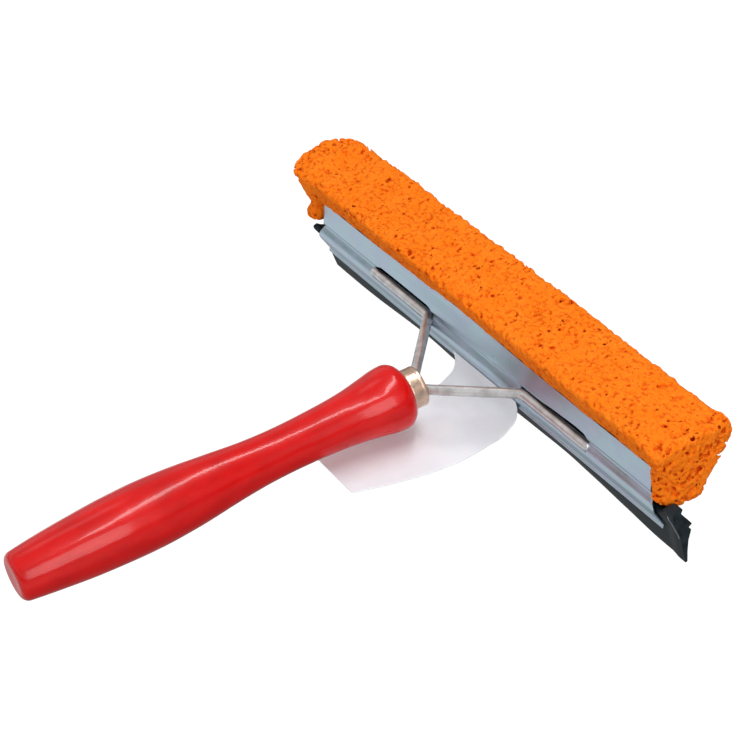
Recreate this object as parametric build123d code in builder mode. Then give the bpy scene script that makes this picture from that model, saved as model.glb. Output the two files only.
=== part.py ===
from build123d import *
from math import cos, radians, sin
import os

os.makedirs("parts", exist_ok=True)

# Window squeegee with a sponge strip, lying on a table. Millimetres.
# World frame: +X along the head, +Y away from the handle, +Z up, table at Z = 0.
# The tool has its own frame inside it: "along" is the handle's direction towards the head,
# "up" is the head's height. Sections of the head are drawn in that frame.

# ---- driving dimensions ----
tool_shift = 3.325               # world X of the tool frame's origin, on the handle's axis
frame_setback = 87.08            # world Y of the tool frame's origin
frame_height = 19.27             # world Z of the tool frame's origin
rest_tilt = 2.58                 # degrees that the handle drops towards its butt

# Head
head_shift = -1.65               # the head sits a little off the handle's axis
metal_half_length = 125.0        # the blade clamp is 250 mm long
wall_half_length = 122.0         # the front plate's upper wall is a little shorter
sheet = 0.7                      # sheet steel thickness
shoulder_top = 6.0               # the wall's slanted ends run from here
shoulder_bottom = 1.0            # down to here
rear_inset = 1.0                 # the rear plate stops short of the clamp's ends

# Handle: along positions and radii
handle_up = 1.25                 # height of the handle's axis in the tool frame
butt = -202.0
butt_flat_radius = 7.2
rim_depth = 2.8
rim_radius = 9.95
rim_slope = 0.14
head_peak = -38.9                # where the handle's head is widest
head_radius = 13.5
shoulder = -33.2
shoulder_radius = 8.45
tenon_radius = 7.5
tenon_end = -30.6
bore_clearance = 0.05
bore_extra_depth = 0.5

# Ferrule
ferrule_radius = 8.3
ferrule_end = -27.0
ferrule_clearance = 0.02
ferrule_mouth_fillet = 0.35

# Fork
wire_radius = 2.1
shank_spacing = 2.65             # half distance between the two wire shanks
shank_end = -64.0                # how deep the shanks reach into the handle
fork_crotch = -28.2
leg_along = -0.7
leg_up = 3.5
leg_start = 35.8
leg_end = 81.3
crotch_bend = 3.6
leg_bend = 6.0
tip_chamfer = 0.5

# Slots in the front plate for the fork's legs
slot_start = 29.8
slot_end = 82.4
slot_bottom = 0.95
slot_top = 8.3
slot_corner = 3.2
cut_reach = 20.0                 # half of the depth and height of the cuts in the front plate

# Blade and sponge
blade_start = -128.95
blade_end = 133.35
sponge_start = -140.0            # the sponge stands out further at this end
sponge_end = 129.85

# Card tag
tag_center = 3.1
tag_root_half_width = 22.2
tag_neck_half_width = 22.6
tag_belly_half_width = 25.8
tag_end_half_width = 18.4
tag_neck = -8.0
tag_belly = -30.0
tag_end = -72.6
tag_thickness = 0.4
tag_gap = 0.1                    # the card lies this far over the table
tag_margin = 5.0                 # the cutting outline runs past the card's root
tag_cut_height = 40.0

# ---- sections of the head, as points of (along, up) ----
wall_top = (1.65, 16.3)
groove_top = (-0.45, 7.2)
groove_bottom = (0.45, 5.5)
clamp_shoulder = (-1.75, 3.0)
clamp_crest = (-2.3, 0.2)
lip_bend = (1.45, -7.6)
lip_edge = (0.75, -9.0)
front_plate_path = [
    wall_top, groove_top, groove_bottom, clamp_shoulder, clamp_crest, lip_bend, lip_edge,
]
front_plate_bends = [1.2, 1.0, 1.5, 2.5, 0.8]

channel_path = [(2.35, 15.7), (0.88, 9.6), (5.3, 7.6), (5.3, 2.6), (14.6, 2.6), (16.6, 12.2)]
channel_bends = [0.8, 0.8, 0.8, 1.2]

rear_path = [(13.2, 1.9), (7.75, 1.9), (7.3, -3.5), (6.4, -8.6)]
rear_bends = [1.0, 3.0]

blade_outline = [
    (-0.5, 0.9), (-1.2, -0.2), (2.05, -7.4), (2.75, -19.4), (3.95, -19.4),
    (4.4, -14.7), (5.65, -8.8), (6.6, -3.8), (6.75, 0.9),
]
blade_fold = [(1.0, -1.2), (3.55, -7.4), (3.6, -12.0), (4.2, -8.6), (4.95, -4.0), (5.0, -1.2)]

sponge_outline = [
    (6.4, 3.1), (13.8, 3.1), (15.6, 12.8), (19.5, 12.9), (28.4, 18.0), (29.4, 30.9),
    (-2.2, 28.2), (1.0, 17.1), (3.0, 16.9), (3.0, 10.6), (6.4, 9.0),
]

# ---- the handle's profile, as points of (along, radius) ----
handle_profile = [
    (butt + rim_depth, rim_radius),
    (-184.0, 11.7),
    (-168.0, 12.93),
    (-152.0, 13.5),
    (-127.0, 12.35),
    (-104.5, 10.1),
    (-86.5, 9.35),
    (-68.0, 9.95),
    (-51.0, 11.75),
    (head_peak, head_radius),
]

# ---- the tool's frame in the world ----
tilt = radians(rest_tilt)
tool_origin = (tool_shift, frame_setback, frame_height)
along = Vector(0, cos(tilt), sin(tilt))
up = Vector(0, -sin(tilt), cos(tilt))
section = Plane(origin=tool_origin, x_dir=along, z_dir=(1, 0, 0))   # along, up; normal is +X
flat = Plane(origin=tool_origin, x_dir=(1, 0, 0), z_dir=up)         # X, along; normal is up


def at(x, y, z):
    """World point of X, along and up in the tool's frame."""
    return flat.from_local_coords(Vector(x, y, z))


def across(y):
    """Plane across the handle at an along position, centred on the handle's axis."""
    return Plane(origin=at(0, y, handle_up), x_dir=(1, 0, 0), z_dir=along)


def table_level(y):
    """Height of the table in the tool's frame at an along position."""
    return (-frame_height - y * sin(tilt)) / cos(tilt)


def save(builder, label):
    builder.part.label = label
    export_step(builder.part, f"parts/{label}.step")


# ---- handle: turned wood with a waist, a round head and a flat butt ----
belly = [(y, handle_up + radius) for y, radius in handle_profile]
butt_edge = (butt, handle_up + butt_flat_radius)
shoulder_edge = (shoulder, handle_up + shoulder_radius)
with BuildPart() as handle:
    with BuildSketch(section):
        with BuildLine():
            Line((butt, handle_up), butt_edge)
            TangentArc(belly[0], butt_edge, tangent=(-1.0, -rim_slope))
            Spline(*belly, tangents=[(1.0, rim_slope), (1.0, 0.0)])
            TangentArc(belly[-1], shoulder_edge, tangent=(1, 0))
            Polyline(
                shoulder_edge,
                (shoulder, handle_up + tenon_radius),
                (tenon_end, handle_up + tenon_radius),
                (tenon_end, handle_up),
                (butt, handle_up),
            )
        make_face()
    revolve(axis=Axis(origin=at(0, 0, handle_up), direction=along))
    # Two bores take the fork's shanks.
    with BuildSketch(across(tenon_end)):
        with Locations((-shank_spacing, 0), (shank_spacing, 0)):
            Circle(wire_radius + bore_clearance)
    extrude(amount=shank_end - bore_extra_depth - tenon_end, mode=Mode.SUBTRACT)
save(handle, "handle")

# ---- ferrule: short metal tube over the tenon, with a rolled mouth ----
with BuildPart() as ferrule:
    with BuildSketch(across(shoulder)):
        Circle(ferrule_radius)
        Circle(tenon_radius + ferrule_clearance, mode=Mode.SUBTRACT)
    extrude(amount=ferrule_end - shoulder)
    mouth = ferrule.faces().sort_by(Axis(at(0, 0, 0), along))[-1]
    fillet(mouth.outer_wire().edges(), ferrule_mouth_fillet)
save(ferrule, "ferrule")


# ---- fork: two bent wires, shanks driven into the handle, legs lying in the head ----
def fork_wire(side):
    route = [
        at(side * shank_spacing, shank_end, handle_up),
        at(side * shank_spacing, fork_crotch, handle_up),
        at(side * leg_start, leg_along, leg_up),
        at(side * leg_end, leg_along, leg_up),
    ]
    with BuildPart() as wire:
        with BuildLine() as path:
            FilletPolyline(*route, radius=[crotch_bend, leg_bend])
        with BuildSketch(Plane(origin=route[0], x_dir=(1, 0, 0), z_dir=along)):
            Circle(wire_radius)
        sweep(path=path.line)
        tips = wire.faces().filter_by(GeomType.PLANE).sort_by(Axis.X)
        chamfer(tips[-1 if side > 0 else 0].edges(), tip_chamfer)
    return wire


save(fork_wire(-1), "fork_wire_left")
save(fork_wire(1), "fork_wire_right")

# ---- front plate: sponge wall, groove for the legs, rounded blade clamp and flared lip ----
before_head = Plane(origin=at(0, -cut_reach, 0), x_dir=(1, 0, 0), z_dir=-along)
slot_middle = ((slot_start + slot_end) / 2, (slot_bottom + slot_top) / 2)
with BuildPart() as front_plate:
    with BuildSketch(section.offset(head_shift - metal_half_length)):
        with BuildLine():
            FilletPolyline(*front_plate_path, radius=front_plate_bends)
        trace(line_width=sheet)
    extrude(amount=2 * metal_half_length)
    # The upper wall stops short of the clamp at both ends, with a slanting shoulder.
    with BuildSketch(before_head):
        for side in (-1, 1):
            clamp_end = head_shift + side * metal_half_length
            wall_end = head_shift + side * wall_half_length
            with BuildLine():
                Polyline(
                    (clamp_end + side, cut_reach),
                    (wall_end, cut_reach),
                    (wall_end, shoulder_top),
                    (clamp_end, shoulder_bottom),
                    (clamp_end + side, shoulder_bottom),
                    close=True,
                )
            make_face()
    extrude(amount=-2 * cut_reach, mode=Mode.SUBTRACT)
    # A long slot lets each leg of the fork lie in the groove.
    with BuildSketch(before_head):
        with Locations(slot_middle, (-slot_middle[0], slot_middle[1])):
            RectangleRounded(slot_end - slot_start, slot_top - slot_bottom, slot_corner)
    extrude(amount=-2 * cut_reach, mode=Mode.SUBTRACT)
save(front_plate, "front_plate")

# ---- sponge channel: folded trough behind the front plate ----
with BuildPart() as sponge_channel:
    with BuildSketch(section.offset(head_shift - wall_half_length)):
        with BuildLine():
            FilletPolyline(*channel_path, radius=channel_bends)
        trace(line_width=sheet)
    extrude(amount=2 * wall_half_length)
save(sponge_channel, "sponge_channel")

# ---- rear plate: backs the blade, its flange welded under the channel ----
rear_half_length = metal_half_length - rear_inset
with BuildPart() as rear_plate:
    with BuildSketch(section.offset(head_shift - rear_half_length)):
        with BuildLine():
            FilletPolyline(*rear_path, radius=rear_bends)
        trace(line_width=sheet)
    extrude(amount=2 * rear_half_length)
save(rear_plate, "rear_plate")

# ---- blade: rubber strip folded double, thick in the clamp and thin at the lip ----
with BuildPart() as rubber_blade:
    with BuildSketch(section.offset(blade_start)):
        with BuildLine():
            Polyline(*blade_outline, close=True)
        make_face()
        with BuildLine():
            Polyline(*blade_fold, close=True)
        make_face(mode=Mode.SUBTRACT)
    extrude(amount=blade_end - blade_start)
save(rubber_blade, "rubber_blade")

# ---- sponge: block with a tongue held in the channel ----
with BuildPart() as sponge:
    with BuildSketch(section.offset(sponge_start)):
        with BuildLine():
            Polyline(*sponge_outline, close=True)
        make_face()
    extrude(amount=sponge_end - sponge_start)
save(sponge, "sponge")

# ---- card tag: glued to the clamp's face, drops to the table, lies flat under the handle ----
tag_lift = tag_thickness / 2 + tag_gap
tag_path = [
    (-0.28, -5.4),
    (-0.02, -9.2),
    (-1.3, -14.6),
    (-9.0, table_level(-9.0) + tag_lift),
    (tag_end, table_level(tag_end) + tag_lift),
]
tag_bends = [4.0, 6.0, 7.0]
tag_side = [
    (tag_root_half_width, tag_margin),
    (tag_neck_half_width, tag_neck),
    (tag_belly_half_width, tag_belly),
    (tag_end_half_width, tag_end - 1),
]
right_side = [(tag_center + x, y) for x, y in tag_side]
left_side = [(tag_center - x, y) for x, y in tag_side]
with BuildPart() as card_tag:
    with BuildSketch(section.offset(tag_center - tag_belly_half_width)):
        with BuildLine():
            FilletPolyline(*tag_path, radius=tag_bends)
        trace(line_width=tag_thickness)
    extrude(amount=2 * tag_belly_half_width)
    with BuildSketch(flat.offset(-tag_cut_height)):
        with BuildLine():
            Spline(*right_side)
            Line(right_side[-1], left_side[-1])
            Spline(*left_side)
            Line(left_side[0], right_side[0])
        make_face()
    extrude(amount=tag_cut_height, mode=Mode.INTERSECT)
save(card_tag, "card_tag")
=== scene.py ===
import math

import bpy
import numpy as np
import openvdb
from mathutils import Matrix, Vector
from mathutils.geometry import tessellate_polygon

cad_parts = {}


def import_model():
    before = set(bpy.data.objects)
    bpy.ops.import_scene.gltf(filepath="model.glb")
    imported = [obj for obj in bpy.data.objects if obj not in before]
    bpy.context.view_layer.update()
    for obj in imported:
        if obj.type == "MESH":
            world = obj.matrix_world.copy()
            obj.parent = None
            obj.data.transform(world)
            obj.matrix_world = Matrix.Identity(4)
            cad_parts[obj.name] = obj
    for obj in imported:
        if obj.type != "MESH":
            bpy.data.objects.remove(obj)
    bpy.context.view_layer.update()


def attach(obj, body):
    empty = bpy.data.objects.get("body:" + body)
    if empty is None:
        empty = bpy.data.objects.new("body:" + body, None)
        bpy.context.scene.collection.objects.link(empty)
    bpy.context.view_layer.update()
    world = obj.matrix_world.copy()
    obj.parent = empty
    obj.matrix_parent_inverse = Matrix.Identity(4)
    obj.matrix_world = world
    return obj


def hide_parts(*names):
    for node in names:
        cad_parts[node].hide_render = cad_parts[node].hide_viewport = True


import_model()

# Window squeegee with a sponge strip. Shapes are drawn in the tool's own frame, as in the CAD:
# X along the head, "along" towards the head, "up" the head's height, all in millimetres.

# ---- driving dimensions, in millimetres ----
MM = 0.001
TILT = math.radians(2.58)
TOOL_ORIGIN = np.array([3.325, 87.08, 19.27])
TOOL_AXES = np.array([
    [1, 0, 0],
    [0, math.cos(TILT), math.sin(TILT)],
    [0, -math.sin(TILT), math.cos(TILT)],
])

HEAD_SHIFT = -1.65
METAL_HALF = 125.0
WALL_HALF = 122.0
SHEET = 0.7
HANDLE_UP = 1.25
WIRE_RADIUS = 2.1
BLADE_START, BLADE_END = -128.95, 133.35
SPONGE_START, SPONGE_END = -140.0, 129.85


def world(points):
    """Points of the tool's frame, in millimetres, as points of the shared frame, in metres."""
    return (np.asarray(points, float) @ TOOL_AXES + TOOL_ORIGIN) * MM


# ---------------------------------------------------------------- shape helpers

def value_noise(points, cell, seed):
    """Smooth random values from -1 to 1, from a lattice with one value every cell millimetres."""
    p = np.asarray(points, float) / cell
    corner = np.floor(p).astype(int)
    low = corner.reshape(-1, 3).min(0)
    size = corner.reshape(-1, 3).max(0) - low + 2
    table = np.random.default_rng(seed).uniform(-1, 1, size)
    f = p - corner
    f = f * f * (3 - 2 * f)
    i, j, k = np.moveaxis(corner - low, -1, 0)
    x, y, z = np.moveaxis(f, -1, 0)
    total = 0
    for a, wa in ((0, 1 - x), (1, x)):
        for b, wb in ((0, 1 - y), (1, y)):
            for c, wc in ((0, 1 - z), (1, z)):
                total = total + table[i + a, j + b, k + c] * wa * wb * wc
    return total


def smoothstep(low, high, value):
    t = np.clip((np.asarray(value, float) - low) / (high - low), 0, 1)
    return t * t * (3 - 2 * t)


def evenly(points, step):
    """The same polyline with points about one step apart."""
    points = np.asarray(points, float)
    gone = np.concatenate([[0], np.cumsum(np.linalg.norm(np.diff(points, axis=0), axis=1))])
    wanted = np.linspace(0, gone[-1], max(2, int(round(gone[-1] / step)) + 1))
    return np.stack([np.interp(wanted, gone, axis) for axis in points.T], axis=1)


def corner_arc(before, corner, after, radius, turn_step=math.radians(6)):
    """Points of the arc that rounds one corner of a path."""
    a = (before - corner) / np.linalg.norm(before - corner)
    b = (after - corner) / np.linalg.norm(after - corner)
    turn = math.pi - math.acos(np.clip(a @ b, -1, 1))
    if turn < 0.02:
        return corner[None]
    start = corner + a * radius * math.tan(turn / 2)
    middle = corner + (a + b) / np.linalg.norm(a + b) * radius / math.cos(turn / 2)
    angles = np.linspace(0, turn, max(3, int(turn / turn_step) + 2))[:, None]
    return middle + (start - middle) * np.cos(angles) - a * radius * np.sin(angles)


def rounded_path(corners, radii, step):
    """Straight runs joined by arcs of the given radii, with points about one step apart."""
    c = [np.array(p, float) for p in corners]
    points = [c[0][None]]
    for before, corner, after, radius in zip(c, c[1:], c[2:], radii):
        points.append(corner_arc(before, corner, after, radius))
    points.append(c[-1][None])
    return evenly(np.concatenate(points), step)


def rounded_loop(corners, radius, step):
    """A closed outline with every corner rounded."""
    c = [np.array(p, float) for p in corners]
    arcs = [corner_arc(c[i - 1], c[i], c[(i + 1) % len(c)], radius) for i in range(len(c))]
    points = np.concatenate(arcs + [arcs[0][:1]])
    return evenly(points, step)[:-1]


def resampled(loop, count):
    """A closed outline with exactly count evenly spaced points."""
    closed = np.concatenate([loop, loop[:1]])
    gone = np.concatenate([[0], np.cumsum(np.linalg.norm(np.diff(closed, axis=0), axis=1))])
    wanted = np.linspace(0, gone[-1], count, endpoint=False)
    return np.stack([np.interp(wanted, gone, axis) for axis in closed.T], axis=1)


def clamped_spline(knots, start_slope, end_slope, values):
    """Cubic spline through the knots with given end slopes, read at values."""
    x, y = np.array(knots, float).T
    h = np.diff(x)
    n = len(x)
    left = np.zeros((n, n))
    right = np.zeros(n)
    left[0, 0] = left[-1, -1] = 1
    right[0], right[-1] = start_slope, end_slope
    for i in range(1, n - 1):
        left[i, i - 1:i + 2] = h[i], 2 * (h[i - 1] + h[i]), h[i - 1]
        right[i] = 3 * (h[i] * (y[i] - y[i - 1]) / h[i - 1] + h[i - 1] * (y[i + 1] - y[i]) / h[i])
    slope = np.linalg.solve(left, right)
    values = np.asarray(values, float)
    i = np.clip(np.searchsorted(x, values, side="right") - 1, 0, n - 2)
    t = (values - x[i]) / h[i]
    return (
        (1 + 2 * t) * (1 - t) ** 2 * y[i] + t * (1 - t) ** 2 * h[i] * slope[i]
        + t * t * (3 - 2 * t) * y[i + 1] + t * t * (t - 1) * h[i] * slope[i + 1]
    )


def tangent_arc(start, tangent, end, count):
    """Arc that leaves start along tangent and reaches end."""
    start, end = np.array(start, float), np.array(end, float)
    t = np.array(tangent, float) / np.linalg.norm(tangent)
    d = end - start
    normal = np.array([-t[1], t[0]])
    if normal @ d < 0:
        normal = -normal
    radius = d @ d / (2 * (d @ normal))
    turn = 2 * math.atan2(d @ normal, d @ t)
    angles = np.linspace(0, turn, count)[:, None]
    return start + radius * (t * np.sin(angles) + normal * (1 - np.cos(angles)))


def place(name, points, faces, material, body, node, sharp=40):
    """A mesh piece from tool-frame points that rides on a body and stands for a CAD node."""
    mesh = bpy.data.meshes.new(name)
    mesh.from_pydata(world(points).tolist(), [], faces)
    mesh.validate()
    mesh.shade_smooth()
    mesh.set_sharp_from_angle(angle=math.radians(sharp))
    mesh.materials.append(material)
    piece = bpy.data.objects.new(name, mesh)
    bpy.context.scene.collection.objects.link(piece)
    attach(piece, body)
    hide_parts(node)
    return piece


def grid_faces(rows, columns, wrap=False, skip=None):
    """Quads over a grid of rows by columns points; wrap joins the last column to the first."""
    faces = []
    for r in range(rows - 1):
        near, far = r * columns, (r + 1) * columns
        for c in range(columns if wrap else columns - 1):
            if skip is not None and skip[r, c]:
                continue
            d = (c + 1) % columns
            faces.append((near + c, near + d, far + d, far + c))
    return faces


def end_caps(rows, segments):
    """The two faces that close a tube made of rows of segments points."""
    first = range(segments)
    last = range((rows - 1) * segments, rows * segments)
    return [tuple(first)[::-1], tuple(last)]


def turned(profile, segments):
    """Rows of points of a body turned about the handle's axis, from (along, radius) points."""
    along, radius = np.array(profile, float).T
    angle = np.linspace(0, 2 * math.pi, segments, endpoint=False)
    x = radius[:, None] * np.sin(angle)
    up = HANDLE_UP + radius[:, None] * np.cos(angle)
    y = np.broadcast_to(along[:, None], x.shape)
    return np.stack([x, y, up], axis=-1)


def sheet_modifiers(piece, thickness, edge):
    """Gives a surface its sheet thickness and soft cut edges."""
    solid = piece.modifiers.new("thickness", "SOLIDIFY")
    solid.thickness = thickness * MM
    solid.offset = 0
    solid.use_even_offset = True
    solid.use_quality_normals = True
    bevel = piece.modifiers.new("edge", "BEVEL")
    bevel.width = edge * MM
    bevel.segments = 2
    bevel.limit_method = "ANGLE"
    bevel.angle_limit = math.radians(55)


# ---------------------------------------------------------------- material helpers

def add(tree, kind, settings=None, **inputs):
    """A shader node; each input is a plain value or another node's output."""
    made = tree.nodes.new(kind)
    for name, value in (settings or {}).items():
        setattr(made, name, value)
    for name, value in inputs.items():
        socket = made.inputs[name.replace("_", " ")]
        if isinstance(value, bpy.types.NodeSocket):
            tree.links.new(value, socket)
        else:
            socket.default_value = value
    return made


def new_material(name, **values):
    """A material whose Principled shader has these plain values."""
    material = bpy.data.materials.new(name)
    material.use_nodes = True
    shader = material.node_tree.nodes["Principled BSDF"]
    for key, value in values.items():
        shader.inputs[key.replace("_", " ")].default_value = value
    return material, material.node_tree, shader


def place_coordinates(tree, stretch=(1, 1, 1)):
    """Object coordinates in the tool's frame, in millimetres, stretched along its axes."""
    where = add(tree, "ShaderNodeTexCoord").outputs["Object"]
    turned_back = add(tree, "ShaderNodeMapping", {"vector_type": "POINT"}, Vector=where)
    turned_back.inputs["Rotation"].default_value = (-TILT, 0, 0)
    scaled = add(tree, "ShaderNodeMapping", {"vector_type": "POINT"}, Vector=turned_back.outputs[0])
    scaled.inputs["Scale"].default_value = [1 / MM / s for s in stretch]
    return scaled.outputs[0]


def noise(tree, where, cell, detail=3.0, roughness=0.5, distortion=0.0):
    """Noise whose blobs are about cell millimetres wide."""
    return add(
        tree, "ShaderNodeTexNoise", Vector=where, Scale=1.0 / cell,
        Detail=detail, Roughness=roughness, Distortion=distortion,
    ).outputs["Fac"]


def ramp(tree, value, stops):
    """Colour ramp with stops of (position, colour)."""
    made = add(tree, "ShaderNodeValToRGB", Fac=value)
    elements = made.color_ramp.elements
    while len(elements) < len(stops):
        elements.new(0.5)
    for element, (position, colour) in zip(elements, stops):
        element.position = position
        element.color = (*colour, 1)
    return made.outputs["Color"]


def grey(value):
    return (value, value, value)


def spread(tree, value, low, high):
    """Maps a noise value's usual range, 0.3 to 0.7, to low to high."""
    made = add(tree, "ShaderNodeMapRange", Value=value)
    made.inputs["From Min"].default_value = 0.3
    made.inputs["From Max"].default_value = 0.7
    made.inputs["To Min"].default_value = low
    made.inputs["To Max"].default_value = high
    return made.outputs["Result"]


def mixed(tree, factor, first, second):
    """Two colours mixed by a factor, each a plain colour or a node's output."""
    made = add(tree, "ShaderNodeMix", {"data_type": "RGBA"})
    for socket, value in ((made.inputs[0], factor), (made.inputs[6], first), (made.inputs[7], second)):
        if isinstance(value, bpy.types.NodeSocket):
            tree.links.new(value, socket)
        else:
            socket.default_value = value
    return made.outputs[2]


def bumped(tree, shader, *layers):
    """Stacks bump layers of (height, distance in millimetres, strength) on a shader."""
    normal = None
    for height, distance, strength in layers:
        made = add(tree, "ShaderNodeBump", Height=height, Distance=distance * MM, Strength=strength)
        if normal is not None:
            tree.links.new(normal, made.inputs["Normal"])
        normal = made.outputs["Normal"]
    tree.links.new(normal, shader.inputs["Normal"])


# ---------------------------------------------------------------- materials

def lacquer_material():
    material, tree, shader = new_material(
        "red_lacquer", Coat_Weight=0.32, Coat_Roughness=0.11, Specular_IOR_Level=0.16,
    )
    grain = noise(tree, place_coordinates(tree, (1, 9, 1)), 3.0, 5, 0.6, 0.4)
    blotches = noise(tree, place_coordinates(tree, (1, 2.2, 1)), 7.0, 3, 0.55)
    base = ramp(tree, blotches, [
        (0.30, (0.55, 0.001, 0.001)), (0.50, (0.65, 0.002, 0.002)), (0.72, (0.72, 0.006, 0.005)),
    ])
    colour = mixed(tree, spread(tree, grain, 0.0, 0.30), base, (0.46, 0.001, 0.002, 1))
    tree.links.new(colour, shader.inputs["Base Color"])
    tree.links.new(spread(tree, grain, 0.24, 0.36), shader.inputs["Roughness"])
    peel = noise(tree, place_coordinates(tree), 1.3, 2)
    bumped(tree, shader, (grain, 0.10, 0.35), (peel, 0.05, 0.25))
    return material


def plated_material(name, colour, dark, low_roughness, high_roughness, stretch):
    """Bright plated steel or brass with handling marks drawn out along the piece."""
    material, tree, shader = new_material(name, Metallic=1.0)
    tarnish = noise(tree, place_coordinates(tree), 5.0, 4, 0.6)
    draw_marks = noise(tree, place_coordinates(tree, stretch), 0.5, 3, 0.6)
    base = ramp(tree, tarnish, [(0.35, dark), (0.60, colour)])
    tree.links.new(base, shader.inputs["Base Color"])
    tree.links.new(spread(tree, draw_marks, low_roughness, high_roughness), shader.inputs["Roughness"])
    bumped(tree, shader, (draw_marks, 0.03, 0.3))
    return material


def galvanised_material():
    material, tree, shader = new_material("galvanised_sheet", Metallic=1.0)
    spangle = noise(tree, place_coordinates(tree, (1.6, 1, 1)), 6.0, 4, 0.55, 0.3)
    rolling = noise(tree, place_coordinates(tree, (60, 1, 1)), 0.7, 3, 0.6)
    base = ramp(tree, spangle, [
        (0.30, (0.380, 0.525, 0.590)), (0.45, (0.420, 0.545, 0.620)),
        (0.58, (0.435, 0.525, 0.650)), (0.72, (0.490, 0.575, 0.660)),
    ])
    colour = mixed(tree, spread(tree, rolling, 0.0, 0.22), base, (0.30, 0.36, 0.40, 1))
    tree.links.new(colour, shader.inputs["Base Color"])
    tree.links.new(spread(tree, spangle, 0.27, 0.40), shader.inputs["Roughness"])
    bumped(tree, shader, (rolling, 0.02, 0.25), (spangle, 0.06, 0.15))
    return material


def rubber_material():
    material, tree, shader = new_material("black_rubber", Specular_IOR_Level=0.16)
    bloom = noise(tree, place_coordinates(tree, (5, 1, 1)), 4.0, 4, 0.6)
    grain = noise(tree, place_coordinates(tree), 0.5, 3)
    base = ramp(tree, bloom, [(0.35, (0.006, 0.010, 0.013)), (0.68, (0.019, 0.029, 0.036))])
    # Painted highlight: pale strokes on the right end stand for light caught on its edges.
    painted_highlight = add(tree, "ShaderNodeAttribute", {"attribute_name": "painted_highlight"}).outputs["Fac"]
    colour = mixed(tree, painted_highlight, base, (0.26, 0.31, 0.34, 1))
    tree.links.new(colour, shader.inputs["Base Color"])
    tree.links.new(spread(tree, bloom, 0.42, 0.60), shader.inputs["Roughness"])
    bumped(tree, shader, (grain, 0.05, 0.3), (bloom, 0.1, 0.2))
    return material


def sponge_material():
    material, tree, shader = new_material("orange_sponge", Roughness=0.9, Specular_IOR_Level=0.06)
    # How deep each point lies in a pore, which sets its painted shade.
    depth = add(tree, "ShaderNodeAttribute", {"attribute_name": "pore_shade"}).outputs["Fac"]
    cells = add(
        tree, "ShaderNodeTexVoronoi", {"feature": "F1"}, Vector=place_coordinates(tree), Scale=1.0 / 1.1,
    ).outputs["Distance"]
    grain = noise(tree, place_coordinates(tree), 1.0, 4, 0.65)
    patches = noise(tree, place_coordinates(tree), 9.0, 3)
    lit = ramp(tree, patches, [(0.35, (0.95, 0.222, 0.009)), (0.65, (0.98, 0.258, 0.016))])
    shaded = mixed(tree, spread(tree, grain, 0.0, 0.75), lit, (0.88, 0.145, 0.004, 1))
    # Painted shade: darker specks sit in the small dips that the same noise presses into the surface
    # between the open pores.
    speck = noise(tree, place_coordinates(tree, (1.6, 1, 1)), 1.5, 3, 0.6)
    speck_shade = ramp(tree, speck, [(0.34, grey(0.9)), (0.47, grey(0.0))])
    speck_shaded = mixed(tree, speck_shade, shaded, (0.72, 0.088, 0.003, 1))
    # Painted shade darkens the foam in the pores, more the deeper they are.
    colour = mixed(tree, depth, speck_shaded, (0.72, 0.085, 0.003, 1))
    tree.links.new(colour, shader.inputs["Base Color"])
    bumped(tree, shader, (cells, 0.35, 0.5), (grain, 0.4, 0.7), (speck, 0.6, 0.6))
    return material


def card_material():
    material, tree, shader = new_material("white_card", Roughness=0.62, Specular_IOR_Level=0.3)
    fibre = noise(tree, place_coordinates(tree, (3, 1, 1)), 0.5, 4, 0.65)
    cloud = noise(tree, place_coordinates(tree), 12.0, 3)
    base = ramp(tree, cloud, [(0.35, (0.83, 0.86, 0.91)), (0.65, (0.87, 0.90, 0.94))])
    colour = mixed(tree, spread(tree, fibre, 0.0, 0.16), base, (0.74, 0.76, 0.80, 1))
    tree.links.new(colour, shader.inputs["Base Color"])
    bumped(tree, shader, (fibre, 0.04, 0.25), (cloud, 0.3, 0.15))
    return material


LACQUER = lacquer_material()
FERRULE_METAL = plated_material(
    "ferrule_metal", (0.72, 0.53, 0.41), (0.55, 0.40, 0.31), 0.26, 0.40, (1, 6, 1))
PLATED_WIRE = plated_material(
    "plated_wire", (0.68, 0.68, 0.68), (0.49, 0.48, 0.47), 0.34, 0.48, (12, 12, 1))
GALVANISED = galvanised_material()
RUBBER = rubber_material()
SPONGE_FOAM = sponge_material()
CARD = card_material()


# ---------------------------------------------------------------- handle

BUTT = -202.0
BUTT_FLAT = 7.2
BUTT_HOLLOW = 0.3
# The handle's profile starts and ends this close to the axis, where a small cap closes it.
CAP_RADIUS = 0.02
RIM = (-199.2, 9.95)
RIM_SLOPE = 0.14
HEAD_PEAK = (-38.9, 13.5)
SHOULDER = (-33.2, 8.45)
TENON_RADIUS = 7.5
TENON_END = -30.6
BELLY = [
    RIM, (-184.0, 11.7), (-168.0, 12.93), (-152.0, 13.5), (-127.0, 12.35), (-104.5, 10.1),
    (-86.5, 9.35), (-68.0, 9.95), (-51.0, 11.75), HEAD_PEAK,
]
HANDLE_STEP = 1.2
HANDLE_SEGMENTS = 112
COAT_SUNK = 0.04


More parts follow.
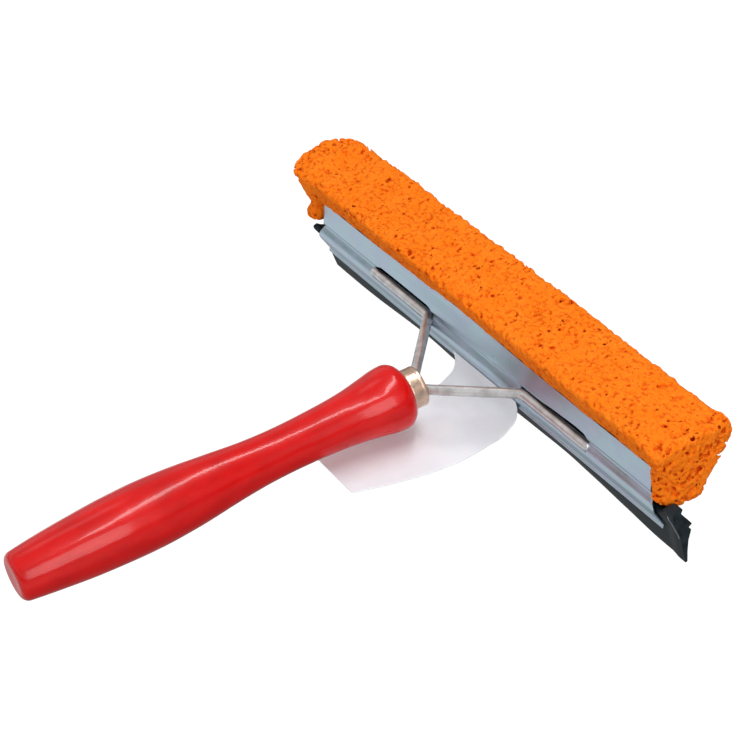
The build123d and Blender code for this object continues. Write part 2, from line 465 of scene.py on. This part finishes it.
def build_handle():
    flat = np.stack([np.full(8, BUTT), np.linspace(CAP_RADIUS, BUTT_FLAT, 8)], axis=1)
    flat[:, 0] += BUTT_HOLLOW * (1 - smoothstep(0, BUTT_FLAT, flat[:, 1]))
    rim = tangent_arc(RIM, (-1, -RIM_SLOPE), (BUTT, BUTT_FLAT), 12)[::-1]
    along = np.arange(RIM[0], HEAD_PEAK[0], HANDLE_STEP)
    belly = np.stack([along, clamped_spline(BELLY, RIM_SLOPE, 0, along)], axis=1)
    head = tangent_arc(HEAD_PEAK, (1, 0), SHOULDER, 16)
    neck = [(SHOULDER[0], TENON_RADIUS), (TENON_END, TENON_RADIUS), (TENON_END, CAP_RADIUS)]
    profile = np.concatenate([flat, rim[1:], belly[1:], head, neck])
    points = turned(profile, HANDLE_SEGMENTS)
    # Turned wood under a thick coat is never quite even.
    outward = points - np.stack(
        [np.zeros(points.shape[:2]), points[..., 1], np.full(points.shape[:2], HANDLE_UP)], axis=-1)
    length = np.linalg.norm(outward, axis=-1, keepdims=True)
    off_axis = smoothstep(0.5, 6.0, length)
    stretched = points * [1, 0.45, 1]
    uneven = 0.085 * value_noise(stretched, 6.5, 11) + 0.035 * value_noise(stretched, 2.6, 12)
    # The coat is lumpier on the round head.
    lumps = smoothstep(-62, -48, points[..., 1]) * 0.07 * value_noise(points, 3.4, 13)
    points = points + outward / length * off_axis * ((uneven + lumps)[..., None] - COAT_SUNK)
    rows = len(profile)
    faces = grid_faces(rows, HANDLE_SEGMENTS, wrap=True) + end_caps(rows, HANDLE_SEGMENTS)
    place(
        "handle_lacquered", points.reshape(-1, 3), faces, LACQUER,
        "frame", "handle", 60)


# ---------------------------------------------------------------- ferrule

FERRULE_OUTSIDE = [
    (-33.2, 7.6), (-33.2, 8.22), (-32.7, 8.3), (-28.6, 8.24), (-28.1, 8.3), (-27.0, 8.28), (-27.0, 7.56),
]
FERRULE_BENDS = [0.25, 0.3, 0.6, 0.5, 0.45]
FERRULE_BORE = [(-27.4, 7.5), (-30.4, 7.52), (-33.0, 7.54)]
FERRULE_SEGMENTS = 96
DENT_DEPTH = 0.05


def build_ferrule():
    outside = rounded_path(FERRULE_OUTSIDE, FERRULE_BENDS, 0.18)
    profile = np.concatenate([outside, FERRULE_BORE])
    points = turned(profile, FERRULE_SEGMENTS)
    points[..., 2] += DENT_DEPTH * value_noise(points, 4.0, 21)
    faces = grid_faces(len(profile), FERRULE_SEGMENTS, wrap=True)
    last = (len(profile) - 1) * FERRULE_SEGMENTS
    for i in range(FERRULE_SEGMENTS):
        j = (i + 1) % FERRULE_SEGMENTS
        faces.append((last + i, last + j, j, i))
    place(
        "ferrule_ring", points.reshape(-1, 3), faces, FERRULE_METAL,
        "frame", "ferrule", 50)


# ---------------------------------------------------------------- fork

SHANK_SPACING = 2.65
SHANK_START = -44.0
CROTCH = -28.2
LEG_ALONG, LEG_UP = -0.7, 3.5
LEG_START, LEG_END = 35.8, 81.3
CROTCH_BEND, LEG_BEND = 3.6, 6.0
TIP_ROUNDING = 1.9
# Share of the wire's radius that is left at its very end.
TIP_END = 0.2
BEND_FLATTENING = 0.35
WIRE_SEGMENTS = 28


def build_wire(side, name):
    corners = [
        (side * SHANK_SPACING, SHANK_START, HANDLE_UP),
        (side * SHANK_SPACING, CROTCH, HANDLE_UP),
        (side * LEG_START, LEG_ALONG, LEG_UP),
        (side * LEG_END, LEG_ALONG, LEG_UP),
    ]
    route = rounded_path(corners, [CROTCH_BEND, LEG_BEND], 0.4)
    count = len(route)
    tangent = np.gradient(route, axis=0)
    tangent /= np.linalg.norm(tangent, axis=1, keepdims=True)
    across = np.cross(tangent, [0, 0, 1])
    across /= np.linalg.norm(across, axis=1, keepdims=True)
    over = np.cross(across, tangent)
    # The wire flattens a little where it was bent.
    bend = np.linalg.norm(np.gradient(tangent, axis=0), axis=1)
    flatten = np.convolve(bend, np.ones(7) / 7, mode="same") * BEND_FLATTENING
    to_tip = np.linalg.norm(route - route[-1], axis=1)
    tip = np.sqrt(1 - (1 - np.clip(to_tip / TIP_ROUNDING, 0, 1)) ** 2)
    radius = WIRE_RADIUS * (TIP_END + (1 - TIP_END) * tip)
    angle = np.linspace(0, 2 * math.pi, WIRE_SEGMENTS, endpoint=False)
    wide = radius * (1 + flatten)
    tall = radius * (1 - flatten)
    ring = (
        across[:, None] * (wide[:, None] * np.cos(angle))[..., None]
        + over[:, None] * (tall[:, None] * np.sin(angle))[..., None]
    )
    points = route[:, None] + ring
    marks = 0.03 * value_noise(points * [0.4, 0.4, 1], 1.2, 31)
    points = points + ring / WIRE_RADIUS * marks[..., None]
    faces = grid_faces(count, WIRE_SEGMENTS, wrap=True) + end_caps(count, WIRE_SEGMENTS)
    place(
        name + "_bent", points.reshape(-1, 3), faces, PLATED_WIRE,
        "frame", name, 50)


# ---------------------------------------------------------------- sheet metal

FRONT_PATH = [
    (1.65, 16.3), (-0.45, 7.2), (0.45, 5.5), (-1.75, 3.0), (-2.3, 0.2), (1.45, -7.6), (0.75, -9.0),
]
FRONT_BENDS = [1.2, 1.0, 1.5, 2.5, 0.8]
# Each slot's upper edge, as points of (x, up); its lower edge is straight.
SLOT_BOTTOM = 1.75
LEFT_SLOT_TOP = [
    (-79.4, 5.6), (-77.4, 7.0), (-73.5, 8.1), (-60.0, 8.3), (-36.0, 8.3), (-33.4, 7.8), (-31.8, 5.8),
]
RIGHT_SLOT_TOP = [
    (34.0, 5.8), (42.0, 6.6), (56.0, 7.7), (72.0, 8.4), (78.0, 8.2), (79.6, 7.4), (80.4, 5.6),
]
# Distances of the extra columns from a slot's end, and the least gap between columns.
SLOT_COLUMNS = np.array([0, 0.25, 0.6, 1.1, 1.8, 2.8, 4.0])
COLUMN_GAP = 0.15
# Only the plate's ends, past this distance from the middle, are drawn in and shifted.
PLATE_FIXED = 100.0
SHOULDER_TOP, SHOULDER_BOTTOM = 6.0, 1.0
CHANNEL_PATH = [(2.35, 15.7), (0.88, 9.6), (5.3, 7.6), (5.3, 2.6), (14.6, 2.6), (16.6, 12.2)]
CHANNEL_BENDS = [0.8, 0.8, 0.8, 1.2]
REAR_PATH = [(13.2, 1.9), (7.75, 1.9), (7.3, -3.5), (6.4, -8.6)]
REAR_BENDS = [1.0, 3.0]
BOW_DEPTH, BOW_MIDDLE, BOW_WIDTH = 1.2, -15, 40
SHEET_EDGE = 0.16


def sheet_wave(x, up, seed):
    """How far thin sheet strays from its drawn surface."""
    points = np.stack([x * 0.5, up * 0.7, np.zeros_like(x)], axis=-1)
    return 0.11 * value_noise(points, 16, seed) + 0.03 * value_noise(points, 5, seed + 1)


def bow(x):
    """How far the head's top leans back, which is most near its middle."""
    return BOW_DEPTH * np.exp(-((x - BOW_MIDDLE) / BOW_WIDTH) ** 2)


def top_bow(x, up):
    """The sheet's share of the bow, which grows towards its top edge."""
    return bow(x) * smoothstep(7.2, 16.3, up)


def slot_top(x):
    """Height of the nearest slot's upper edge at x."""
    left, right = (np.interp(x, *np.transpose(edge)) for edge in (LEFT_SLOT_TOP, RIGHT_SLOT_TOP))
    return np.where(x < 0, left, right)


def build_front_plate():
    path = rounded_path(FRONT_PATH, FRONT_BENDS, 0.1)[::-1]
    top, bottom = path[-1, 1], path[0, 1]
    slots = [(edge[0][0], edge[-1][0]) for edge in (LEFT_SLOT_TOP, RIGHT_SLOT_TOP)]
    # Columns stand closer together inside the slots' ends.
    fine = [columns for start, end in slots for columns in (start + SLOT_COLUMNS, end - SLOT_COLUMNS)]
    x = np.unique(np.round(np.concatenate([np.linspace(-METAL_HALF, METAL_HALF, 210), *fine]), 4))
    at_end = np.isin(x, np.ravel(slots))
    crowded = np.concatenate([[False], np.diff(x) < COLUMN_GAP])
    x = x[at_end | ~crowded]
    low, high = np.full_like(x, SLOT_BOTTOM), slot_top(x)
    bands = [
        np.linspace(np.full_like(x, bottom), low, 40),
        np.linspace(low, high, 4)[1:],
        np.linspace(high, np.full_like(x, top), 40)[1:],
    ]
    up = np.concatenate(bands)
    rows, columns = up.shape
    spread_x = np.broadcast_to(x, up.shape)
    # The wall above the shoulders is a little shorter than the clamp.
    half = METAL_HALF - (METAL_HALF - WALL_HALF) * np.clip(
        (up - SHOULDER_BOTTOM) / (SHOULDER_TOP - SHOULDER_BOTTOM), 0, 1)
    past_fixed = np.abs(spread_x) - PLATE_FIXED
    squeezed = PLATE_FIXED + past_fixed * (half - PLATE_FIXED) / (METAL_HALF - PLATE_FIXED)
    spread_x = np.where(past_fixed > 0, np.sign(spread_x) * squeezed, spread_x)
    spread_x = spread_x + HEAD_SHIFT * smoothstep(PLATE_FIXED, METAL_HALF, np.abs(spread_x))
    along = np.interp(up, path[:, 1], path[:, 0])
    along = along + sheet_wave(spread_x, up, 41) + top_bow(spread_x, up)
    points = np.stack([spread_x, along, up], axis=-1)
    middle = (x[:-1] + x[1:]) / 2
    cut = np.any([(middle > start) & (middle < end) for start, end in slots], axis=0)
    skip = np.zeros((rows - 1, columns - 1), bool)
    first = len(bands[0]) - 1
    skip[first:first + 3] = cut
    piece = place(
        "front_plate_sheet", points.reshape(-1, 3), grid_faces(rows, columns, skip=skip), GALVANISED,
        "frame", "front_plate", 60)
    sheet_modifiers(piece, SHEET, SHEET_EDGE)


def build_strip(name, node, corners, bends, start, end, seed):
    """A folded strip of sheet with a constant section."""
    path = rounded_path(corners, bends, 0.3)
    x = np.linspace(start, end, 90)
    spread_x, row = np.meshgrid(x, np.arange(len(path)), indexing="xy")
    along, up = path[row, 0], path[row, 1]
    along = along + 0.5 * sheet_wave(spread_x, up, seed) + top_bow(spread_x, up)
    points = np.stack([spread_x, along, up], axis=-1)
    piece = place(
        name, points.reshape(-1, 3), grid_faces(*spread_x.shape), GALVANISED,
        "frame", node, 60)
    sheet_modifiers(piece, SHEET, SHEET_EDGE)


# ---------------------------------------------------------------- rubber blade

# Points of the outline inside the clamp, at the loose right end and at the curled left end.
BLADE_OUTLINE = [
    ((-0.5, 0.9), (0.2, 5.2), (-1.1, 4.2)), ((-1.2, -0.2), (-0.9, 3.4), (-2.8, 3.7)),
    ((-0.6, -1.6), (-1.0, 0.4), (-2.9, 2.4)), ((2.05, -7.4), (1.2, -7.0), (1.9, -7.4)),
    ((2.75, -19.4), (1.95, -19.3), (2.75, -19.4)), ((3.95, -19.4), (3.0, -19.3), (3.95, -19.4)),
    ((4.4, -14.7), (3.6, -14.6), (4.4, -14.7)), ((5.65, -8.8), (4.5, -10.2), (5.65, -8.8)),
    ((6.2, -6.2), (6.2, -6.0), (6.2, -6.2)), ((6.45, -5.0), (5.1, -4.6), (6.45, -5.0)),
    ((6.6, -3.8), (6.8, -3.7), (6.6, -3.8)), ((6.7, -1.4), (5.0, -0.7), (6.7, -1.4)),
    ((6.75, 0.2), (2.7, 2.8), (6.75, 0.2)), ((6.3, 0.9), (3.7, 4.4), (6.3, 0.9)),
    ((3.0, 0.9), (2.7, 5.6), (0.8, 2.8)),
]
# How far the wiping edge stands back from a straight line, as points of (x, distance).
BLADE_BOW = [
    (-129.0, 1.1), (-95.0, 1.4), (-60.0, 2.8), (-5.0, 2.0), (50.0, 2.75), (90.0, 1.3), (114.0, 0.0),
    (134.0, 0.0),
]
LIP_TOP, LIP_HEIGHT = -8.2, 11.2
LOOSE_FROM, LOOSE_FULL = 123.6, 130.5
CURL_FROM, CURL_FULL = -126.4, -129.6
CURL_REACH = 1.6
# At the left end the rubber inside the clamp and the lip below it are cut back on a slant.
CUT_RUN = 16
INSIDE_CUT, LIP_CUT = 4.2, 1.5
BLADE_COUNT = 110
# Painted highlights on the right end: pale strokes that stand for light caught on its edges, each from
# one point of (x, up) to another, with a width.
PAINTED_HIGHLIGHTS = [
    ((130.2, 1.4), (131.6, -1.0), 0.5), ((131.6, -1.0), (131.9, -4.5), 0.55),
    ((131.9, -4.5), (132.3, -8.0), 0.45),
]
HIGHLIGHT_DEPTH = 3.2


def painted_highlight_strength(points):
    """How strongly the painted highlight shows at each point, from 0 to 1, on the side that faces the
    handle.
    """
    painted_highlight = np.zeros(len(points))
    across = points[:, [0, 2]]
    for begin, end, width in PAINTED_HIGHLIGHTS:
        a, run = np.array(begin), np.array(end) - begin
        t = np.clip((across - a) @ run / (run @ run), 0, 1)
        gap = np.linalg.norm(across - a - t[:, None] * run, axis=1)
        painted_highlight = np.maximum(painted_highlight, 1 - smoothstep(width * 0.3, width, gap))
    return painted_highlight * (points[:, 1] < HIGHLIGHT_DEPTH)


def build_blade():
    held, loose, curled = (np.array([corner[i] for corner in BLADE_OUTLINE]) for i in range(3))
    start = BLADE_START - CURL_REACH
    stations = np.unique(np.concatenate([
        np.linspace(start, CURL_FROM + 1, 14), np.linspace(CURL_FROM + 1, LOOSE_FROM, 130),
        np.linspace(LOOSE_FROM, BLADE_END, 26),
    ]))
    loops = []
    for x in stations:
        to_loose = float(smoothstep(LOOSE_FROM, LOOSE_FULL, x))
        to_curled = float(smoothstep(CURL_FROM, CURL_FULL, x))
        corners = held + to_loose * (loose - held) + to_curled * (curled - held)
        loop = resampled(rounded_loop(corners, 0.22, 0.3), BLADE_COUNT)
        loops.append(np.column_stack([np.full(BLADE_COUNT, x), loop]))
    points = np.array(loops)
    up = points[..., 2]
    # Soft rubber hangs in slow waves below the clamp.
    free = np.clip((LIP_TOP - up) / LIP_HEIGHT, 0, 1) ** 1.3
    x = points[..., 0]
    wave = 0.12 * value_noise(points * [1, 0, 0], 17, 51)
    bowed_x = np.clip(x, BLADE_BOW[0][0], BLADE_BOW[-1][0])
    points[..., 1] += free * (clamped_spline(BLADE_BOW, 0, 0, bowed_x) + wave)
    # Only the bead reaches the left end.
    near_start = 1 - smoothstep(start, start + CUT_RUN, x)
    inside = smoothstep(3.0, -1.0, up) * smoothstep(-9.0, -6.5, up)
    points[..., 0] += near_start * (INSIDE_CUT * inside + LIP_CUT * smoothstep(-6.5, -9.0, up))
    rows = len(stations)
    faces = grid_faces(rows, BLADE_COUNT, wrap=True)
    for row, flip in ((0, False), (rows - 1, True)):
        rim = [row * BLADE_COUNT + i for i in range(BLADE_COUNT)]
        outline = [Vector((*points[row, i, 1:], 0)) for i in range(BLADE_COUNT)]
        for triangle in tessellate_polygon([outline]):
            face = tuple(rim[i] for i in triangle)
            faces.append(face[::-1] if flip else face)
    points = points.reshape(-1, 3)
    piece = place(
        "rubber_blade_strip", points, faces, RUBBER, "blade", "rubber_blade", 40)
    # Painted highlight strength at each point, kept on the mesh for the material.
    painted_highlight = painted_highlight_strength(points).astype(np.float32)
    piece.data.attributes.new("painted_highlight", "FLOAT", "POINT").data.foreach_set("value", painted_highlight)


# ---------------------------------------------------------------- sponge

SPONGE_SECTION = [
    (6.4, 3.2), (13.7, 3.2), (15.4, 12.6), (19.5, 12.9), (28.4, 18.0), (29.6, 31.0),
    (-2.5, 28.7), (0.7, 16.9), (3.1, 16.7), (3.1, 10.7), (6.4, 9.1),
]
SPONGE_RIGHT = [
    (-2.7, 28.4), (30.2, 29.5), (30.5, 24.4), (28.0, 19.3), (19.8, 10.7), (16.8, 5.6), (14.2, 2.1),
    (0.2, 2.6), (-1.6, 4.2), (-2.8, 7.6), (-2.0, 14.7), (-1.6, 19.5),
]
SPONGE_LEFT = [
    (-3.4, 28.6), (5.0, 31.6), (14.0, 33.2), (23.0, 33.0), (29.0, 31.2), (28.6, 19.5), (21.0, 13.2),
    (15.2, 6.4), (3.6, 6.2), (-1.5, 6.4), (-3.6, 7.6), (-3.0, 11.0), (-1.2, 15.2), (-2.2, 18.6),
]
# Where the left end stops, lower down as (up, x) and on its swollen top as (along, x).
LEFT_LOWER = [
    (2.5, -135.2), (7.0, -135.8), (11.0, -134.4), (17.0, -131.9), (21.0, -135.2), (24.0, -136.2),
    (28.0, -139.6),
]
LEFT_UPPER = [
    (-4, -142.4), (0, -143.0), (8, -143.8), (16, -143.4), (22, -141.2), (28, -137.2), (31, -135.5),
]
RIGHT_FOOT_CUT = 5.6
SAG = 1.5
VOXEL = 0.72
ADAPTIVITY = 0.1
# The whole body is grown by GROWTH, and where the channel holds it shrunk by HELD_SHRINK.
GROWTH = 0.36
HELD_SHRINK = 0.51
# Share of the skin's voxels that start a pore, and how much likelier that is on the ends.
PORE_SHARE = 0.066
END_PORES = 2.6
PORE_SMALLEST, PORE_LARGEST = 0.48, 0.95
# A pore's hollow is carved within this many voxels of its middle.
PORE_REACH = 4
# Pores start between these depths inside and outside the body's surface.
SKIN_INSIDE, SKIN_OUTSIDE = 1.5, 0.35
# The ends are what lies beyond these two places along the head.
LEFT_FACE, RIGHT_FACE = -133, 124


def polygon_distance(points, corners):
    """Signed distance to a closed outline, negative inside."""
    corners = np.array(corners, float)
    nearest = np.full(points.shape[:-1], np.inf)
    sign = np.ones(points.shape[:-1])
    for a, b in zip(corners, np.roll(corners, -1, axis=0)):
        edge = b - a
        w = points - a
        t = np.clip(w @ edge / (edge @ edge), 0, 1)
        gap = w - t[..., None] * edge
        nearest = np.minimum(nearest, (gap ** 2).sum(-1))
        above_a = points[..., 1] >= a[1]
        below_b = points[..., 1] < b[1]
        left = edge[0] * w[..., 1] > edge[1] * w[..., 0]
        crossing = (above_a & below_b & left) | (~above_a & ~below_b & ~left)
        sign = np.where(crossing, -sign, sign)
    return sign * np.sqrt(nearest)


def smooth_max(a, b, k):
    """The larger of two fields, blended over a width of k where they are nearly equal."""
    h = np.clip(0.5 + 0.5 * (a - b) / k, 0, 1)
    return b * (1 - h) + a * h + k * h * (1 - h)


def sponge_body(x, along, up):
    """Distance field of the sponge before its surface is roughened."""
    ends = np.stack(np.meshgrid(along, up, indexing="ij"), axis=-1)
    right, left = polygon_distance(ends, SPONGE_RIGHT), polygon_distance(ends, SPONGE_LEFT)
    x3 = x[:, None, None]
    a, u = ends[None, ..., 0], ends[None, ..., 1]
    # The front follows the metal's bow, and the back sags towards the right.
    leaned = bow(x3) * smoothstep(27, 17, u) * smoothstep(9, 4, a)
    sagged = SAG * smoothstep(20, 60, x3) * smoothstep(8, 28, a) * smoothstep(19, 27, u)
    middle = np.stack([
        polygon_distance(np.stack([(a - back)[0], (u + down)[0]], axis=-1), SPONGE_SECTION)
        for back, down in zip(leaned[:, None], sagged[:, None])
    ])
    to_right = smoothstep(121.6, 124.0, x3)
    to_left = smoothstep(-124.5, -129.0, x3)
    body = middle * (1 - to_right) * (1 - to_left) + right * to_right + left * to_left
    # The right end is cut nearly square; the left end swells on top and has a loose foot.
    right_end = SPONGE_END - RIGHT_FOOT_CUT * smoothstep(6.5, -3.0, a) * smoothstep(26, 10, u)
    lower = np.interp(u, *np.transpose(LEFT_LOWER))
    upper = np.interp(a, *np.transpose(LEFT_UPPER))
    high = smoothstep(24.0, 30.0, u)
    left_end = lower * (1 - high) + upper * high
    field = smooth_max(body, x3 - right_end, 1.2)
    return smooth_max(field, left_end - x3, 1.6)


def softened(field):
    """Averages a field over neighbouring voxels across the strip, which rounds its long edges."""
    for axis in (1, 2, 1, 2):
        field = sum(np.roll(field, step, axis) for step in (-2, -1, 0, 1, 2)) / 5
    return field


def carve_pores(field, smooth, held, grid, x):
    """Opens irregular hollows, scattered through the skin, in the field."""
    rng = np.random.default_rng(61)
    shell = np.argwhere((smooth > -SKIN_INSIDE) & (smooth < SKIN_OUTSIDE) & (held < 0.5))
    ends = (x[shell[:, 0]] > RIGHT_FACE) | (x[shell[:, 0]] < LEFT_FACE)
    weight = np.where(ends, END_PORES, 1.0)
    count = int(len(shell) * PORE_SHARE)
    pores = rng.choice(len(shell), size=count, replace=False, p=weight / weight.sum())
    radii = np.clip(rng.lognormal(-0.50, 0.24, count), PORE_SMALLEST, PORE_LARGEST)
    jitter = rng.uniform(-0.5, 0.5, (count, 3))
    shape = rng.uniform(0.75, 1.3, (count, 3))
    for middle, radius, move, squash in zip(shell[pores], radii, jitter, shape):
        block = tuple(slice(max(c - PORE_REACH, 0), c + PORE_REACH + 1) for c in middle)
        centre = grid[tuple(middle)] + move * VOXEL
        gap = np.linalg.norm((grid[block] - centre) * squash, axis=-1)
        field[block] = smooth_max(field[block], radius - gap, 0.3)


def build_sponge():
    x = np.arange(SPONGE_START - 7, SPONGE_END + 4, VOXEL)
    along = np.arange(-7.0, 34.0, VOXEL)
    up = np.arange(-1.0, 38.0, VOXEL)
    smooth = softened(sponge_body(x, along, up))
    grid = np.stack(np.meshgrid(x, along, up, indexing="ij"), axis=-1)
    rough = (
        0.36 * value_noise(grid, 13.0, 62) + 0.20 * value_noise(grid, 4.0, 63)
        + 0.36 * value_noise(grid, 1.7, 64)
    )
    # The channel's walls press its tongue smooth.
    held = (
        smoothstep(-122.5, -120.0, x)[:, None, None] * smoothstep(121.0, 119.0, x)[:, None, None]
        * smoothstep(17.2, 16.0, up)[None, None, :] * smoothstep(17.6, 16.6, along)[None, :, None]
    )
    field = smooth - GROWTH + rough * (1 - held) + HELD_SHRINK * held
    carve_pores(field, smooth, held, grid, x)
    volume = openvdb.FloatGrid()
    volume.copyFromArray(field.astype(np.float32))
    points, triangles, quads = volume.convertToPolygons(0.0, ADAPTIVITY)
    corner = grid[0, 0, 0]
    points = points * VOXEL + corner
    triangles = np.concatenate([triangles, quads[:, [0, 1, 2]], quads[:, [0, 2, 3]]])
    points, triangles = largest_shell(points, triangles)
    # A negative volume means that the faces look inwards.
    a, b, c = (points[triangles[:, i]] for i in range(3))
    if (np.cross(a, b) * c).sum() < 0:
        triangles = triangles[:, ::-1]
    piece = place(
        "sponge_foam", points, triangles.tolist(), SPONGE_FOAM,
        "sponge_strip", "sponge", 180)
    # Painted shade: the deeper a point lies in a pore, the darker its colour is painted.
    voxel = ((points - corner) / VOXEL).round().astype(int)
    voxel = np.clip(voxel, 0, np.array(smooth.shape) - 1)
    depth = -smooth[tuple(voxel.T)]
    pore_shade = smoothstep(0.3, 1.7, depth).astype(np.float32)
    piece.data.attributes.new("pore_shade", "FLOAT", "POINT").data.foreach_set("value", pore_shade)


def largest_shell(points, triangles):
    """Drops crumbs and sealed bubbles, which touch the main surface nowhere."""
    label = np.arange(len(points))
    while True:
        low = label[triangles].min(axis=1)
        new = label.copy()
        np.minimum.at(new, triangles.ravel(), np.repeat(low, 3))
        new = new[new]
        if np.array_equal(new, label):
            break
        label = new
    values, counts = np.unique(label, return_counts=True)
    keep = label == values[counts.argmax()]
    renumber = np.cumsum(keep) - 1
    return points[keep], renumber[triangles[keep[triangles[:, 0]]]]


# ---------------------------------------------------------------- card tag

TAG_CENTER = 3.9
TAG_THICKNESS = 0.4
TAG_END = -72.6
# The card's half width, as points of (along, half width).
TAG_WIDTHS = [(TAG_END, 18.0), (-30.0, 26.6), (-8.0, 23.6), (0.0, 23.2)]
TAG_BENDS = [4.0, 6.0, 7.0]
TAG_EDGE = 0.1


def table_level(along):
    """Height of the table in the tool's frame, which is tilted to it."""
    return (-TOOL_ORIGIN[2] - along * math.sin(TILT)) / math.cos(TILT)


def build_card():
    lift = TAG_THICKNESS / 2 + 0.1
    corners = [
        (-0.28, -5.4), (-0.02, -9.2), (-1.3, -14.6),
        (-9.0, table_level(-9.0) + lift), (TAG_END, table_level(TAG_END) + lift),
    ]
    path = rounded_path(corners, TAG_BENDS, 0.8)
    half = clamped_spline(TAG_WIDTHS, 0.25, -0.02, path[:, 0])
    across = np.linspace(-1, 1, 61)
    x = TAG_CENTER + half[:, None] * across
    along = np.broadcast_to(path[:, :1], x.shape)
    up = np.broadcast_to(path[:, 1:], x.shape).copy()
    flat = smoothstep(-12, -40, along)
    points = np.stack([x, along, up], axis=-1)
    # The free end curls up slightly from the table.
    curl = 0.5 * smoothstep(-52, TAG_END, along) ** 2 + 0.15 * flat * across ** 4
    points[..., 2] += curl + 0.08 * flat * (1 + value_noise(points, 15, 71))
    piece = place(
        "card_tag_sheet", points.reshape(-1, 3), grid_faces(*x.shape), CARD,
        "frame", "card_tag", 60)
    sheet_modifiers(piece, TAG_THICKNESS, TAG_EDGE)


build_handle()
build_ferrule()
build_wire(-1, "fork_wire_left")
build_wire(1, "fork_wire_right")
build_front_plate()
build_strip(
    "sponge_channel_sheet", "sponge_channel", CHANNEL_PATH, CHANNEL_BENDS,
    HEAD_SHIFT - WALL_HALF, HEAD_SHIFT + WALL_HALF, 43)
build_strip(
    "rear_plate_sheet", "rear_plate", REAR_PATH, REAR_BENDS,
    HEAD_SHIFT - METAL_HALF + 1, HEAD_SHIFT + METAL_HALF - 1, 45)
build_blade()
build_sponge()
build_card()


# ---------------------------------------------------------------- stage, light and camera

ROOM = 4.0
FLOOR_DROP = 0.0002


def build_stage():
    """A white floor, and white walls and ceiling round it that stand behind low views."""
    material = new_material(
        "pale_floor", Base_Color=(0.12, 0.12, 0.12, 1), Roughness=0.8, Specular_IOR_Level=0.0,
        Emission_Color=(1, 1, 1, 1), Emission_Strength=1.0,
    )[0]
    plan = [(-ROOM, -ROOM), (ROOM, -ROOM), (ROOM, ROOM), (-ROOM, ROOM)]
    room = [(x, y, z) for z in (0, ROOM) for x, y in plan]
    walls = [(0, 4, 5, 1), (1, 5, 6, 2), (2, 6, 7, 3), (3, 7, 4, 0), (4, 7, 6, 5)]
    for name, faces in (("floor", [(0, 1, 2, 3)]), ("backdrop", walls)):
        mesh = bpy.data.meshes.new(name)
        mesh.from_pydata(room, [], faces)
        mesh.materials.append(material)
        part = bpy.data.objects.new(name, mesh)
        part.location = (0, 0, -FLOOR_DROP)
        # Only the camera sees the stage; the world lights the pieces from every side.
        part.visible_diffuse = False
        part.visible_glossy = False
        part.visible_shadow = False
        bpy.context.scene.collection.objects.link(part)


def soft_box(name, toward, distance, width, height, power, long_axis):
    """An area light that faces the object from a direction, its width laid along long_axis."""
    z = Vector(toward).normalized()
    light = bpy.data.lights.new(name, "AREA")
    light.shape = "RECTANGLE"
    light.size = width
    light.size_y = height
    light.energy = power
    lamp = bpy.data.objects.new(name, light)
    x = (Vector(long_axis) - z * z.dot(Vector(long_axis))).normalized()
    y = z.cross(x)
    turn = Matrix((x, y, z)).transposed().to_4x4()
    lamp.matrix_world = Matrix.Translation(z * distance) @ turn
    bpy.context.scene.collection.objects.link(lamp)


# World brightness by the height looked at, from straight down (-1) to straight up (1).
# Bright below and above the horizon with a dark band between, which draws the lines in bent metal.
SKY = [
    (-1.0, 0.25), (-0.70, 0.45), (-0.42, 0.90), (-0.20, 0.95), (-0.06, 0.60), (0.04, 0.25),
    (0.14, 0.36), (0.28, 0.98), (0.45, 1.00), (0.70, 0.66), (1.0, 0.60),
]


def build_world():
    """Grey light from all round, dimmer behind the head than in front of it."""
    world_settings = bpy.data.worlds.new("studio")
    world_settings.use_nodes = True
    tree = world_settings.node_tree
    where = add(tree, "ShaderNodeTexCoord").outputs["Generated"]
    toward = add(tree, "ShaderNodeSeparateXYZ", Vector=where)
    height = add(tree, "ShaderNodeMapRange", Value=toward.outputs["Z"])
    height.inputs["From Min"].default_value = -1.0
    sky = ramp(tree, height.outputs["Result"], [((1 + z) / 2, grey(level)) for z, level in SKY])
    behind = add(tree, "ShaderNodeMapRange", Value=toward.outputs["Y"])
    behind.inputs["From Min"].default_value = -0.1
    behind.inputs["From Max"].default_value = 0.6
    behind.inputs["To Min"].default_value = 1.0
    behind.inputs["To Max"].default_value = 0.45
    tree.links.new(sky, tree.nodes["Background"].inputs["Color"])
    tree.links.new(behind.outputs["Result"], tree.nodes["Background"].inputs["Strength"])
    bpy.context.scene.world = world_settings


CAMERA_PLACE = (0.69896, -0.27850, 0.54632)
CAMERA_FORWARD = (-0.75670, 0.34620, -0.55458)
CAMERA_RIGHT = (0.48846, 0.86321, -0.12761)
CAMERA_LENS = 117.39


def build_camera():
    forward = Vector(CAMERA_FORWARD).normalized()
    right = Vector(CAMERA_RIGHT)
    right = (right - forward * right.dot(forward)).normalized()
    up = right.cross(forward)
    data = bpy.data.cameras.new("camera")
    data.sensor_width = 36.0
    data.lens = CAMERA_LENS
    data.clip_start = 0.05
    data.clip_end = 50
    camera = bpy.data.objects.new("camera", data)
    turn = Matrix((right, up, -forward)).transposed().to_4x4()
    camera.matrix_world = Matrix.Translation(CAMERA_PLACE) @ turn
    bpy.context.scene.collection.objects.link(camera)
    bpy.context.scene.camera = camera


build_stage()
build_world()
soft_box("overhead", (0.14, 0.20, 0.96), 1.0, 1.05, 0.085, 4.8, (0.83, -0.56, 0))
soft_box("right_window", (0.905, -0.055, 0.42), 1.5, 0.42, 1.0, 6.0, (0, 1, 0))
soft_box("left_fill", (-0.42, -0.05, 0.91), 1.2, 0.30, 0.30, 0.4, (1, 0, 0))
build_camera()
bpy.context.scene.view_settings.view_transform = "Standard"
